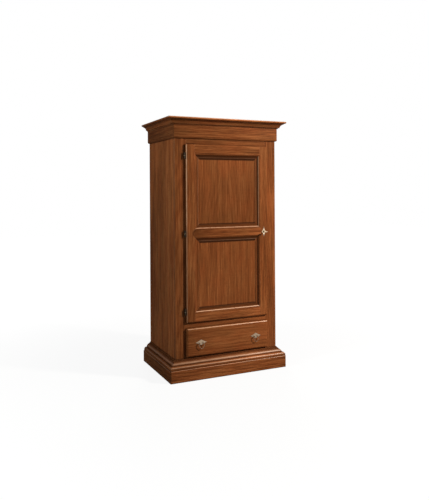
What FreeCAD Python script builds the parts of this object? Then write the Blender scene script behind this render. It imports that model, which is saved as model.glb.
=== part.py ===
import FreeCAD, Part
import math
import os

# A one-door, one-drawer bonnetiere. Millimetres, +Z up, front towards -Y.
# Origin: on the floor, at the centre of the overall box (the crown sets the box).

# ---- Driving dimensions -------------------------------------------------------------
OVERALL_HEIGHT = 2000.0
BODY_WIDTH = 880.0
BODY_DEPTH = 595.0          # front of the face frame to the back
CROWN_REACH = 70.0          # crown beyond the body, at the front and both sides
PLINTH_REACH = 62.0
PLINTH_CORNER_RADIUS = 12.0
FRIEZE_REACH = 16.0
FRIEZE_CORNER_RADIUS = 12.0
BOARD = 22.0                # side, top, bottom and plinth boards
FRAME_THICKNESS = 24.0
POST_WIDTH = 95.0
POST_CORNER_RADIUS = 4.0
BACK_THICKNESS = 8.0
BACK_REBATE = 8.0

# Heights of the main lines above the floor
PLINTH_TOP = 94.0
BASE_TOP = 158.0
DRAWER_OPENING = (184.0, 378.0)
DOOR_OPENING = (442.0, 1787.0)
FRIEZE_BOTTOM = 1842.0
FRIEZE_TOP = 1944.0
HAT_SHELF_TOP = 1622.0

# Door
DOOR_WIDTH = 704.0
DOOR_BOTTOM = 432.0
DOOR_TOP = 1797.0
DOOR_THICKNESS = 22.5
DOOR_GAP = 0.5              # between the door's back and the face frame
DOOR_EDGE_RADIUS = 9.0
STILE_WIDTH = 68.0
RAIL_WIDTH = 72.0           # top and bottom rails
MID_RAIL = (1083.0, 1144.0)
LAP_REACH = 15.0            # curved ends of the mid rail over the stiles
LAP_DEPTH = 4.0
LAP_PROUD = 1.5
LAP_EDGE_RADIUS = 1.2
PANEL_DEPTH = 11.5          # panel face behind the door's face
PANEL_THICKNESS = 6.0
PANEL_EDGE = 28.0           # panel edge inside the frame's edge
MOULDING_WIDTH = 37.0
TENON_LENGTH = 30.0
TENON_THICKNESS = 8.0
TENON_SHOULDER = 12.0       # above and below a tenon

# Hinges
HINGE_HEIGHTS = (515.0, 1112.0, 1709.0)
HINGE_OFFSET = 9.0          # barrel axis outside the door's edge
BARREL_RADIUS = 6.5
BARREL_HALF = 22.0
WASHER_THICKNESS = 1.0
PIN_RADIUS = 3.5
PIN_LENGTH = 16.0           # above the joint between the two leaves
BALL_RADIUS = 4.5           # ball tips of the barrel
STEM_RADIUS = 3.0
STEM_DEPTH = 20.0           # screwed into the wood
RUNNING_CLEARANCE = 0.05

# Lock
KEY_X = 320.0
KEY_Z = 1108.0
LOCK_THROW = 10.0
LOCK_THICKNESS = 13.0
LOCK_WALL = 1.5
SHANK_RADIUS = 2.5
KEY_STANDOFF = 46.0         # end of the bow beyond the door's face
LOCK_PLATE_X = (298.0, 341.0)
LOCK_PLATE_Z = (KEY_Z - 26.0, KEY_Z + 30.0)
LOCK_CASE_X = (306.0, 341.0)
LOCK_CASE_Z = (KEY_Z - 18.0, KEY_Z + 22.0)
BOLT_BAR_Z = (KEY_Z + 11.5, KEY_Z + 19.5)
STRIKE_Z = KEY_Z + 15.5
LOCK_SCREW_INSET = 4.0
LOCK_FIT = 0.3              # round the bolt where it leaves the case
MORTISE_FIT = 0.5           # round the bolt in the post
LUG_X = (KEY_X - 8.0, KEY_X - 4.0)
LUG_BOTTOM = KEY_Z + 6.0
BIT_REACH = 11.0
BIT_THICKNESS = 3.0
COLLAR_STANDOFF = 14.0
BOW_RADIUS = 6.5
BOW_HOLE_RADIUS = 3.5
BOW_SPREAD = 6.5            # centre of each loop of the bow from the shank
BOW_THICKNESS = 5.0
BOW_CREST = 3.5             # middle of the bow beyond its two loops
ESCUTCHEON_SIZE = (40.0, 82.0)
ESCUTCHEON_THICKNESS = 1.6
ESCUTCHEON_WAIST = 0.36     # how hollow the four sides are; 0.5 would be straight
ESCUTCHEON_SCREW_OFFSET = 23.0
STRIKE_SCREW_OFFSET = 19.0
STRIKE_HALF_HEIGHT = 25.0

# Drawer
DRAWER_FRONT_WIDTH = 704.0
DRAWER_FRONT = (172.0, 388.0)
DRAWER_FRONT_THICKNESS = 25.0
DRAWER_EDGE_RADIUS = 12.0
DRAWER_SIDE = 12.0
DRAWER_DEPTH = 530.0
DRAWER_SIDE_HEIGHT = 165.0
DRAWER_BOTTOM_THICKNESS = 6.0
DRAWER_SIDE_GAP = 3.0
DRAWER_GROOVE = 5.0
DRAWER_HOUSING = 8.0        # sides let into the back of the front
DRAWER_BACK_DROP = 10.0     # back lower than the sides
RUNNER_WIDTH = 20.0
RUNNER_THICKNESS = 18.0
GUIDE_HEIGHT = 24.0
GUIDE_CLEARANCE = 1.0

# Pulls
PULL_X = 238.0
PULL_Z = 276.0
PLATE_SIZE = (92.0, 44.0)
PLATE_THICKNESS = 1.8
PLATE_WAIST = 0.47
POST_SPACING = 30.0
POST_RADIUS = 2.0           # where it passes through the drawer front
NECK_RADIUS = 2.6
COLLAR_RADIUS = 4.0
COLLAR_THICKNESS = 1.8
EYE_RADIUS = 4.2
EYE_LENGTH = 5.0
NUT_RADIUS = 4.0
NUT_THICKNESS = 3.2
NUT_THREAD_CLEARANCE = 0.02
BAIL_AXIS_OUT = 15.0        # bail axis in front of the drawer's face
BAIL_RADIUS = 2.2
BAIL_PIN_RADIUS = 1.5
BAIL_DROP = 40.0
BAIL_OUTSIDE_POST = 6.0     # arm centre from post centre
BAIL_KNOB_RADIUS = 2.8
BAIL_FOOT_RADIUS = 3.2

# Inside and fittings
SHELF_THICKNESS = 18.0
HOUSING_DEPTH = 6.0
RAIL_RADIUS = 12.5
RAIL_Z = 1560.0
RAIL_Y = 40.0
SOCKET_RADIUS = 25.0
SOCKET_LENGTH = 14.0
SOCKET_FLANGE = 3.0
SOCKET_WALL = 2.5
SOCKET_SCREW_OFFSET = 19.5
STRIKE_THICKNESS = 1.5
GLUE_BLOCK_LENGTH = 60.0
HOLE_CLEARANCE = 0.1
SCREW_HEAD_RADIUS = 2.6
SCREW_HEAD_DEPTH = 1.5
SCREW_SHANK_RADIUS = 1.3
SCREW_LENGTH = 16.0
BACK_SCREW_INSET = 18.0
BACK_SCREW_START = 180.0
BACK_SCREW_STEP = 340.0
BACK_SCREW_SPREAD = 210.0

# ---- Planes worked out from them ----------------------------------------------------
OVERALL_DEPTH = BODY_DEPTH + CROWN_REACH
FRONT = -OVERALL_DEPTH / 2 + CROWN_REACH       # face of the face frame
BACK = OVERALL_DEPTH / 2
SIDE = BODY_WIDTH / 2                          # outer face of a side board
FRAME_BACK = FRONT + FRAME_THICKNESS
OPENING_X = SIDE - POST_WIDTH                  # edge of the door and drawer openings
INNER_X = SIDE - BOARD
BACK_FACE = BACK - BACK_THICKNESS              # inner face of the back panel
DOOR_BACK = FRONT - DOOR_GAP
DOOR_FACE = DOOR_BACK - DOOR_THICKNESS
DOOR_X = DOOR_WIDTH / 2
DOOR_INNER_X = DOOR_X - STILE_WIDTH
DRAWER_BACK_OF_FRONT = FRONT - DOOR_GAP
DRAWER_FACE = DRAWER_BACK_OF_FRONT - DRAWER_FRONT_THICKNESS
HINGE_X = -DOOR_X - HINGE_OFFSET
HINGE_Y = DOOR_FACE + DOOR_THICKNESS / 2
BOLT_Y = (DOOR_BACK + 3.5, DOOR_BACK + 10.0)
BIT_Y = (DOOR_BACK + 4.0, DOOR_BACK + 9.5)
BOX_X = OPENING_X - DRAWER_SIDE_GAP            # outer face of a drawer side
BOX_BOTTOM = DRAWER_OPENING[0] + 0.5
BOX_BACK = DRAWER_BACK_OF_FRONT + DRAWER_DEPTH
BAIL_AXIS_Y = DRAWER_FACE - BAIL_AXIS_OUT
BAIL_AXIS_Z = PULL_Z - 6.0
DRAWER_BOTTOM_Z = (BOX_BOTTOM + 10.0, BOX_BOTTOM + 10.0 + DRAWER_BOTTOM_THICKNESS)

X_AXIS = FreeCAD.Vector(1, 0, 0)
Z_AXIS = FreeCAD.Vector(0, 0, 1)


# ---- Small helpers ------------------------------------------------------------------
def save(name, *solids):
    """Write one sub-part: a single solid, or several separate ones as a compound."""
    shape = solids[0] if len(solids) == 1 else Part.makeCompound(list(solids))
    shape.exportStep("parts/" + name + ".step")


def box(x_range, y_range, z_range):
    """Box between two corners given as ranges."""
    size = [span[1] - span[0] for span in (x_range, y_range, z_range)]
    corner = FreeCAD.Vector(x_range[0], y_range[0], z_range[0])
    return Part.makeBox(size[0], size[1], size[2], corner)


def rod(radius, start, end):
    """Cylinder from one point to another."""
    way = FreeCAD.Vector(*end) - FreeCAD.Vector(*start)
    return Part.makeCylinder(radius, way.Length, FreeCAD.Vector(*start), way)


def outline(start, steps, place):
    """Closed face. A step is a point reached by a line, or (mid, end) of an arc."""
    edges = []
    last = start
    for step in list(steps) + [start]:
        is_arc = isinstance(step[0], tuple)
        end = step[1] if is_arc else step
        if is_arc:
            edges.append(Part.Arc(place(*last), place(*step[0]), place(*end)).toShape())
        elif place(*last).distanceToPoint(place(*end)) > 1e-6:
            edges.append(Part.makeLine(place(*last), place(*end)))
        last = end
    return Part.Face(Part.Wire(edges))


def prism(points, z_range):
    """Upright prism over a plan polygon."""
    corners = [FreeCAD.Vector(x, y, z_range[0]) for x, y in points]
    face = Part.Face(Part.makePolygon(corners + corners[:1]))
    return face.extrude(FreeCAD.Vector(0, 0, z_range[1] - z_range[0]))


def mirrored(shape):
    """The same piece on the other side of the cabinet."""
    return shape.mirror(FreeCAD.Vector(0, 0, 0), X_AXIS)


def edges_where(shape, test):
    """Edges whose every end satisfies the test."""
    return [e for e in shape.Edges if all(test(v.Point) for v in e.Vertexes)]


# ---- Mouldings that run round the front and both sides ------------------------------
def front_run(start, steps, reach, z_range):
    """Front length of a moulding, mitred at both corners. Profile in (outward, height)."""
    inset = BOARD
    half = SIDE + reach
    face = outline(start, steps, lambda out, z: FreeCAD.Vector(-half, FRONT - out, z))
    strip = face.extrude(FreeCAD.Vector(2 * half, 0, 0))
    plan = [(-half, FRONT - reach), (half, FRONT - reach)]
    plan += [(SIDE - inset, FRONT + inset), (-SIDE + inset, FRONT + inset)]
    return strip.common(prism(plan, z_range))


def side_run(start, steps, reach, z_range):
    """Left return of a moulding, mitred at the front and square at the back."""
    inset = BOARD
    face = outline(start, steps, lambda out, z: FreeCAD.Vector(-SIDE - out, FRONT - reach, z))
    strip = face.extrude(FreeCAD.Vector(0, BACK - FRONT + reach, 0))
    plan = [(-SIDE - reach, FRONT - reach), (-SIDE + inset, FRONT + inset)]
    plan += [(-SIDE + inset, BACK), (-SIDE - reach, BACK)]
    return strip.common(prism(plan, z_range))


def save_run(name, start, steps, reach, z_range, trim=None):
    """Write a moulding's front, left and right lengths, less the waste at its corners."""
    front = front_run(start, steps, reach, z_range)
    left = side_run(start, steps, reach, z_range)
    if trim:
        front = front.cut(trim).cut(mirrored(trim))
        left = left.cut(trim)
    save(name + "_front", front)
    save(name + "_left", left)
    save(name + "_right", mirrored(left))


def corner_waste(reach, radius, z_range):
    """What comes off the left front corner of a run to round it in plan."""
    corner = (-SIDE - reach, FRONT - reach)
    centre = (corner[0] + radius, corner[1] + radius)
    waste = box((corner[0] - 1, centre[0]), (corner[1] - 1, centre[1]), z_range)
    return waste.cut(rod(radius, centre + (z_range[0],), centre + (z_range[1],)))


def crown():
    """Small cove, fillet, steep cove, fillet and a round top bead, on top of the frieze."""
    base = FRIEZE_TOP
    steps = [
        (19.0, base),
        ((21.0, base + 5.0), (26.0, base + 7.0)),
        (30.0, base + 7.0),
        (30.0, base + 11.0),
        ((39.0, base + 26.5), (55.0, base + 35.0)),
        (55.0, base + 39.0),
        (64.0, base + 40.0),
        ((CROWN_REACH, base + 48.0), (64.0, OVERALL_HEIGHT)),
        (-BOARD, OVERALL_HEIGHT),
    ]
    save_run("crown", (-BOARD, base), steps, CROWN_REACH, (base, OVERALL_HEIGHT))


def frieze():
    """Flat boards on the carcass, with a rounded lower edge and rounded front corners."""
    steps = [
        (8.0, FRIEZE_BOTTOM),
        ((13.6, FRIEZE_BOTTOM + 6.8), (FRIEZE_REACH, FRIEZE_BOTTOM + 18.0)),
        (FRIEZE_REACH, FRIEZE_TOP),
        (0.0, FRIEZE_TOP),
    ]
    z_range = (FRIEZE_BOTTOM, FRIEZE_TOP)
    waste = corner_waste(FRIEZE_REACH, FRIEZE_CORNER_RADIUS, z_range)
    save_run("frieze", (0.0, FRIEZE_BOTTOM), steps, FRIEZE_REACH, z_range, waste)


def base_moulding():
    """Fillet, upper ovolo, quirk and lower ovolo, on top of the plinth boards."""
    bottom = PLINTH_TOP
    steps = [
        (55.0, bottom),
        (55.0, bottom + 2.0),
        (57.0, bottom + 2.0),
        (57.0, bottom + 9.0),
        ((52.0, bottom + 20.5), (40.0, bottom + 26.0)),
        (33.0, bottom + 26.0),
        (33.0, bottom + 30.0),
        (35.0, bottom + 30.0),
        ((28.0, bottom + 43.0), (16.0, bottom + 51.0)),
        (16.0, bottom + 55.0),
        (7.0, bottom + 55.0),
        (7.0, BASE_TOP),
        (0.0, BASE_TOP),
    ]
    save_run("base_moulding", (0.0, bottom), steps, PLINTH_REACH, (bottom, BASE_TOP))


def plinth():
    """Mitred boards standing on the floor, a rail across the back, and glue blocks."""
    inner = PLINTH_REACH - BOARD
    steps = [
        (inner, 0.0),
        (PLINTH_REACH - 2.0, 0.0),
        (PLINTH_REACH, 3.0),
        (PLINTH_REACH, PLINTH_TOP - 8.0),
        ((PLINTH_REACH - 1.8, PLINTH_TOP - 2.2), (PLINTH_REACH - 6.0, PLINTH_TOP)),
    ]
    z_range = (0.0, PLINTH_TOP)
    waste = corner_waste(PLINTH_REACH, PLINTH_CORNER_RADIUS, z_range)
    save_run("plinth", (inner, PLINTH_TOP), steps, PLINTH_REACH, z_range, waste)

    save("plinth_back", box((-INNER_X, INNER_X), (BACK - BOARD, BACK), (0, PLINTH_TOP)))

    blocks = []
    for x_range in ((-SIDE - inner, -SIDE), (SIDE, SIDE + inner)):
        front_y = FRONT - inner
        for y_range in ((front_y, front_y + GLUE_BLOCK_LENGTH), (BACK - GLUE_BLOCK_LENGTH, BACK)):
            blocks.append(box(x_range, y_range, (0, PLINTH_TOP)))
    save("plinth_corner_blocks", *blocks)


# ---- Carcass ------------------------------------------------------------------------
def screw(head, way, clearance=0.0):
    """Countersunk screw: the centre of its flat head, and the way its shank points.

    With a clearance it is the hole for that screw, a little larger and deeper.
    """
    point = FreeCAD.Vector(*head)
    direction = FreeCAD.Vector(*way)
    head_radius = SCREW_HEAD_RADIUS + clearance
    shank_radius = SCREW_SHANK_RADIUS + clearance
    cone = Part.makeCone(head_radius, shank_radius, SCREW_HEAD_DEPTH, point, direction)
    length = SCREW_LENGTH + 5 * clearance
    return cone.fuse(Part.makeCylinder(shank_radius, length, point, direction))


def with_screw_holes(shape, screws):
    """The shape with a hole for each (head, way) screw."""
    for head, way in screws:
        shape = shape.cut(screw(head, way, HOLE_CLEARANCE))
    return shape


def back_screws():
    """Screws of the back panel: down both sides, and along the top and the floor."""
    points = []
    for x in (-SIDE + BACK_SCREW_INSET, SIDE - BACK_SCREW_INSET):
        for step in range(6):
            points.append((x, BACK, BACK_SCREW_START + BACK_SCREW_STEP * step))
    for z in (FRIEZE_TOP - BOARD / 2, DOOR_OPENING[0] - BOARD / 2):
        for x in (-BACK_SCREW_SPREAD, 0.0, BACK_SCREW_SPREAD):
            points.append((x, BACK, z))
    return [(point, (0, -1, 0)) for point in points]


def socket_screws(sign):
    """The two screws that hold a rail socket to its side board."""
    face = sign * (INNER_X - SOCKET_FLANGE)
    offsets = (-SOCKET_SCREW_OFFSET, SOCKET_SCREW_OFFSET)
    return [((face, RAIL_Y, RAIL_Z + offset), (sign, 0, 0)) for offset in offsets]


def strike_screws():
    """The strike plate's two screws, on the right post's edge."""
    y_mid = FRONT + 11.0
    offsets = (-STRIKE_SCREW_OFFSET, STRIKE_SCREW_OFFSET)
    return [((OPENING_X, y_mid, STRIKE_Z + offset), (1, 0, 0)) for offset in offsets]


def side_boards():
    """Left side board, rebated for the back and housed for the hat shelf, and its mirror."""
    board = box((-SIDE, -INNER_X), (FRAME_BACK, BACK), (0, FRIEZE_TOP))
    rebate = box((-INNER_X - BACK_REBATE, -INNER_X), (BACK_FACE, BACK), (PLINTH_TOP, FRIEZE_TOP))
    shelf_z = (HAT_SHELF_TOP - SHELF_THICKNESS, HAT_SHELF_TOP)
    housing = box((-INNER_X - HOUSING_DEPTH, -INNER_X), (FRAME_BACK, BACK_FACE), shelf_z)
    board = board.cut(rebate).cut(housing)
    left_screws = [item for item in back_screws() if item[0][0] < -INNER_X]
    board = with_screw_holes(board, left_screws + socket_screws(-1))
    save("side_left", board)
    save("side_right", mirrored(board))


def face_frame():
    """Two corner posts and three rails, with the holes of the hinge stems and the strike."""
    post = box((-SIDE, -OPENING_X), (FRONT, FRAME_BACK), (0, FRIEZE_TOP))
    corner = edges_where(post, lambda p: abs(p.x + SIDE) < 1e-3 and abs(p.y - FRONT) < 1e-3)
    post = post.makeFillet(POST_CORNER_RADIUS, corner)
    left = post
    for z in HINGE_HEIGHTS:
        at = z - BARREL_HALF / 2
        end = (HINGE_X, FRONT + STEM_DEPTH + 1, at)
        left = left.cut(rod(STEM_RADIUS + HOLE_CLEARANCE, (HINGE_X, FRONT, at), end))
    save("post_left", left)

    strike_z = (STRIKE_Z - STRIKE_HALF_HEIGHT, STRIKE_Z + STRIKE_HALF_HEIGHT)
    strike_x = (OPENING_X, OPENING_X + STRIKE_THICKNESS)
    strike = box(strike_x, (FRONT + 1.0, FRONT + 19.0), strike_z)
    bolt_y = (BOLT_Y[0] - MORTISE_FIT, BOLT_Y[1] + MORTISE_FIT)
    bolt_z = (BOLT_BAR_Z[0] - MORTISE_FIT, BOLT_BAR_Z[1] + MORTISE_FIT)
    mortise = box((OPENING_X - 1.0, OPENING_X + LOCK_THROW + 4.0), bolt_y, bolt_z)
    right = mirrored(post).cut(strike).cut(mortise)
    save("post_right", with_screw_holes(right, strike_screws()))
    save("strike_plate", with_screw_holes(strike.cut(mortise), strike_screws()))

    span = (-OPENING_X, OPENING_X)
    depth = (FRONT, FRAME_BACK)
    save("frame_top_rail", box(span, depth, (DOOR_OPENING[1], FRIEZE_TOP)))
    save("frame_mid_rail", box(span, depth, (DRAWER_OPENING[1], DOOR_OPENING[0])))
    save("frame_bottom_rail", box(span, depth, (PLINTH_TOP, DRAWER_OPENING[0])))


def boards_inside():
    """Top, bottom, floor of the hanging space, hat shelf, back panel and crown's back rail."""
    across = (-INNER_X, INNER_X)
    depth = (FRAME_BACK, BACK_FACE)
    back_x = INNER_X + BACK_REBATE
    boards = {
        "carcass_top": box(across, depth, (FRIEZE_TOP - BOARD, FRIEZE_TOP)),
        "carcass_bottom": box(across, depth, (PLINTH_TOP, PLINTH_TOP + BOARD)),
        "compartment_floor": box(across, depth, (DOOR_OPENING[0] - BOARD, DOOR_OPENING[0])),
        "back_panel": box((-back_x, back_x), (BACK_FACE, BACK), (PLINTH_TOP, FRIEZE_TOP)),
    }
    for name, board in boards.items():
        save(name, with_screw_holes(board, back_screws()))

    shelf_x = INNER_X + HOUSING_DEPTH
    shelf_z = (HAT_SHELF_TOP - SHELF_THICKNESS, HAT_SHELF_TOP)
    save("hat_shelf", box((-shelf_x, shelf_x), depth, shelf_z))
    save("crown_back_rail", box(across, (BACK - BOARD, BACK), (FRIEZE_TOP, OVERALL_HEIGHT)))


def rail_socket(sign):
    """Flanged socket on one side board; the rail's end sits in its sleeve."""
    wall = (sign * INNER_X, RAIL_Y, RAIL_Z)
    flange_face = (sign * (INNER_X - SOCKET_FLANGE), RAIL_Y, RAIL_Z)
    lip = (sign * (INNER_X - SOCKET_LENGTH), RAIL_Y, RAIL_Z)
    flange = rod(SOCKET_RADIUS, wall, flange_face)
    sleeve = rod(RAIL_RADIUS + SOCKET_WALL, wall, lip)
    hollow = rod(RAIL_RADIUS + HOLE_CLEARANCE, flange_face, lip)
    return with_screw_holes(flange.fuse(sleeve).cut(hollow), socket_screws(sign))


def hanging_rail():
    """Round rail between its two sockets."""
    end = INNER_X - SOCKET_FLANGE
    save("hanging_rail", rod(RAIL_RADIUS, (-end, RAIL_Y, RAIL_Z), (end, RAIL_Y, RAIL_Z)))
    save("rail_sockets", rail_socket(-1), rail_socket(1))


def carcass_screws():
    """All the carcass's screws are the same kind, each a separate solid."""
    every = back_screws() + socket_screws(-1) + socket_screws(1) + strike_screws()
    save("carcass_screws", *[screw(head, way) for head, way in every])


def drawer_runners():
    """Bearers that the drawer slides on, each with a guide strip and a stop at the back."""
    top = DRAWER_OPENING[0]
    inner_x = -BOX_X + RUNNER_WIDTH
    guide_x = -BOX_X - GUIDE_CLEARANCE
    stop_y = BOX_BACK + GUIDE_CLEARANCE
    guide_z = (top, top + GUIDE_HEIGHT)
    bearer = box((-INNER_X, inner_x), (FRAME_BACK, BACK_FACE), (top - RUNNER_THICKNESS, top))
    guide = box((-INNER_X, guide_x), (FRAME_BACK, BACK_FACE), guide_z)
    stop = box((guide_x, inner_x), (stop_y, stop_y + RUNNER_WIDTH), guide_z)
    runner = bearer.fuse(guide).fuse(stop).removeSplitter()
    save("drawer_runner_left", runner)
    save("drawer_runner_right", mirrored(runner))


# ---- Door ---------------------------------------------------------------------------
def door_blank():
    """Whole outline of the door, its front edges rounded, before it is split in pieces."""
    blank = box((-DOOR_X, DOOR_X), (DOOR_FACE, DOOR_BACK), (DOOR_BOTTOM, DOOR_TOP))
    front = edges_where(blank, lambda p: abs(p.y - DOOR_FACE) < 1e-3)
    return blank.makeFillet(DOOR_EDGE_RADIUS, front)


def rail_ranges():
    """Heights of the bottom, mid and top rails of the door."""
    bottom = (DOOR_BOTTOM, DOOR_BOTTOM + RAIL_WIDTH)
    top = (DOOR_TOP - RAIL_WIDTH, DOOR_TOP)
    return {"bottom": bottom, "mid": MID_RAIL, "top": top}


def tenon(rail, sign):
    """Tenon of one rail end, in the middle of the door's thickness."""
    z0, z1 = rail_ranges()[rail]
    x_range = sorted((sign * DOOR_INNER_X, sign * (DOOR_INNER_X + TENON_LENGTH)))
    y_mid = (DOOR_FACE + DOOR_BACK) / 2
    y_range = (y_mid - TENON_THICKNESS / 2, y_mid + TENON_THICKNESS / 2)
    return box(x_range, y_range, (z0 + TENON_SHOULDER, z1 - TENON_SHOULDER))


def keyhole(y_range, radius, slot_width, slot_length):
    """Round hole with a slot below it, cut through from front to back."""
    hole = rod(radius, (KEY_X, y_range[0], KEY_Z), (KEY_X, y_range[1], KEY_Z))
    slot_x = (KEY_X - slot_width / 2, KEY_X + slot_width / 2)
    return hole.fuse(box(slot_x, y_range, (KEY_Z - slot_length, KEY_Z)))


def mid_rail_face():
    """Face of the mid rail: a little proud, with a curved end lapped over each stile."""
    z0, z1 = MID_RAIL
    middle = (z0 + z1) / 2
    tip = DOOR_INNER_X + LAP_REACH
    front_y = DOOR_FACE - LAP_PROUD
    steps = [
        (DOOR_INNER_X, z0),
        ((tip, middle), (DOOR_INNER_X, z1)),
        (-DOOR_INNER_X, z1),
        ((-tip, middle), (-DOOR_INNER_X, z0)),
    ]
    face = outline((-DOOR_INNER_X, z0), steps, lambda x, z: FreeCAD.Vector(x, front_y, z))
    plate = face.extrude(FreeCAD.Vector(0, LAP_PROUD + LAP_DEPTH, 0))
    front = edges_where(plate, lambda p: abs(p.y - front_y) < 1e-3)
    return plate.makeFillet(LAP_EDGE_RADIUS, front)


def door_frame():
    """Two stiles and three tenoned rails. The mid rail's face laps over the stiles."""
    blank = door_blank()
    full = (DOOR_FACE - 1, DOOR_BACK + 1)
    hinge_stile = blank.common(box((-DOOR_X - 1, -DOOR_INNER_X), full, (0, OVERALL_HEIGHT)))
    lock_stile = blank.common(box((DOOR_INNER_X, DOOR_X + 1), full, (0, OVERALL_HEIGHT)))
    for name, z_range in rail_ranges().items():
        left = tenon(name, -1)
        right = tenon(name, 1)
        rail = blank.common(box((-DOOR_INNER_X, DOOR_INNER_X), full, z_range))
        pieces = [left, right]
        if name == "mid":
            pieces.append(mid_rail_face())
        for piece in pieces:
            rail = rail.fuse(piece)
            hinge_stile = hinge_stile.cut(piece)
            lock_stile = lock_stile.cut(piece)
        save("door_" + name + "_rail", rail.removeSplitter())

    for z in HINGE_HEIGHTS:
        at = z + BARREL_HALF / 2
        end = (-DOOR_X + STEM_DEPTH + 1, HINGE_Y, at)
        hole = rod(STEM_RADIUS + HOLE_CLEARANCE, (-DOOR_X, HINGE_Y, at), end)
        hinge_stile = hinge_stile.cut(hole)
    save("door_stile_hinge", hinge_stile)

    lock_stile = lock_stile.cut(keyhole(full, 5.5, 4.4, 14.5))
    save("door_stile_lock", with_screw_holes(lock_stile, lock_screws() + escutcheon_screws()))


def moulding_strip(upright, edge, along_range, inward):
    """One moulding strip round a panel, mitred at both ends.

    Its profile is (in from the frame's edge, behind the door's face): an ovolo, a quirk, a
    hollow and a fillet above the panel, with a groove behind that holds the panel.
    """
    groove_back = PANEL_DEPTH + PANEL_THICKNESS
    groove_in = PANEL_EDGE - 1.0
    start = (0.0, 0.8)
    steps = [
        ((7.6, 2.6), (12.0, 7.0)),
        (12.0, 10.2),
        (15.5, 10.2),
        ((22.5, 10.8), (31.0, 7.8)),
        (MOULDING_WIDTH, 9.2),
        (MOULDING_WIDTH, PANEL_DEPTH),
        (groove_in, PANEL_DEPTH),
        (groove_in, groove_back),
        (MOULDING_WIDTH - 6.0, groove_back),
        (MOULDING_WIDTH - 6.0, DOOR_THICKNESS),
        (0.0, DOOR_THICKNESS),
    ]
    low, high = along_range

    def place(across, behind, along=low):
        position = edge + inward * across
        if upright:
            return FreeCAD.Vector(position, DOOR_FACE + behind, along)
        return FreeCAD.Vector(along, DOOR_FACE + behind, position)

    strip = outline(start, steps, place).extrude(place(0, 0, high) - place(0, 0, low))
    reach = MOULDING_WIDTH + 1.0
    plan = [(0.0, low), (0.0, high), (reach, high - reach), (reach, low + reach)]
    corners = [place(across, -1.0, along) for across, along in plan]
    mitre = Part.Face(Part.makePolygon(corners + corners[:1]))
    return strip.common(mitre.extrude(FreeCAD.Vector(0, DOOR_THICKNESS + 2, 0)))


def door_panels():
    """Two flat panels, each captured in four mitred moulding strips."""
    rails = rail_ranges()
    fields = {
        "lower": (rails["bottom"][1], rails["mid"][0]),
        "upper": (rails["mid"][1], rails["top"][0]),
    }
    panel_x = (-DOOR_INNER_X + PANEL_EDGE, DOOR_INNER_X - PANEL_EDGE)
    face = DOOR_FACE + PANEL_DEPTH
    for name, z_range in fields.items():
        panel_z = (z_range[0] + PANEL_EDGE, z_range[1] - PANEL_EDGE)
        save("door_panel_" + name, box(panel_x, (face, face + PANEL_THICKNESS), panel_z))
        across = (-DOOR_INNER_X, DOOR_INNER_X)
        strips = [
            moulding_strip(True, -DOOR_INNER_X, z_range, 1),
            moulding_strip(True, DOOR_INNER_X, z_range, -1),
            moulding_strip(False, z_range[0], across, 1),
            moulding_strip(False, z_range[1], across, -1),
        ]
        save("panel_moulding_" + name, *strips)


# ---- Hinges -------------------------------------------------------------------------
def on_axis(z):
    """A point of the door's hinge axis."""
    return (HINGE_X, HINGE_Y, z)


def hinges():
    """Barrel hinges: frame leaf with pin, washer, and door leaf turning on the pin."""
    frame_leaves = []
    washers = []
    door_leaves = []
    gap = WASHER_THICKNESS / 2
    for z in HINGE_HEIGHTS:
        bottom = on_axis(z - BARREL_HALF)
        leaf = rod(BARREL_RADIUS, bottom, on_axis(z - gap))
        leaf = leaf.fuse(Part.makeSphere(BALL_RADIUS, FreeCAD.Vector(*bottom)))
        leaf = leaf.fuse(rod(PIN_RADIUS, on_axis(z - gap), on_axis(z + PIN_LENGTH)))
        stem_z = z - BARREL_HALF / 2
        stem = rod(STEM_RADIUS, on_axis(stem_z), (HINGE_X, FRONT + STEM_DEPTH, stem_z))
        frame_leaves.append(leaf.fuse(stem))

        hole_radius = PIN_RADIUS + RUNNING_CLEARANCE
        hole = rod(hole_radius, on_axis(z - 5.0), on_axis(z + PIN_LENGTH + 1.0))
        ring = rod(BARREL_RADIUS - 0.5, on_axis(z - gap), on_axis(z + gap))
        washers.append(ring.cut(hole))

        top = on_axis(z + BARREL_HALF)
        leaf = rod(BARREL_RADIUS, on_axis(z + gap + RUNNING_CLEARANCE), top)
        leaf = leaf.fuse(Part.makeSphere(BALL_RADIUS, FreeCAD.Vector(*top)))
        stem_z = z + BARREL_HALF / 2
        stem = rod(STEM_RADIUS, on_axis(stem_z), (-DOOR_X + STEM_DEPTH, HINGE_Y, stem_z))
        door_leaves.append(leaf.fuse(stem).cut(hole))
    save("hinge_frame_leaves", *frame_leaves)
    save("hinge_washers", *washers)
    save("hinge_door_leaves", *door_leaves)


# ---- Lock ---------------------------------------------------------------------------
def lock_screws():
    """Four screws that hold the lock to the door's back."""
    points = []
    inset = LOCK_SCREW_INSET
    for x in (LOCK_PLATE_X[0] + inset, LOCK_PLATE_X[1] - inset):
        for z in (LOCK_PLATE_Z[0] + inset, LOCK_PLATE_Z[1] - inset):
            points.append(((x, DOOR_BACK + LOCK_WALL, z), (0, -1, 0)))
    return points


def escutcheon_screws():
    """Two screws near the escutcheon's upper and lower tips."""
    face = DOOR_FACE - ESCUTCHEON_THICKNESS
    offsets = (-ESCUTCHEON_SCREW_OFFSET, ESCUTCHEON_SCREW_OFFSET)
    return [((KEY_X, face, KEY_Z + offset), (0, 1, 0)) for offset in offsets]


def shrunk(span, margin):
    """A range pulled in at both ends, or let out by a negative margin."""
    return (span[0] + margin, span[1] - margin)


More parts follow.
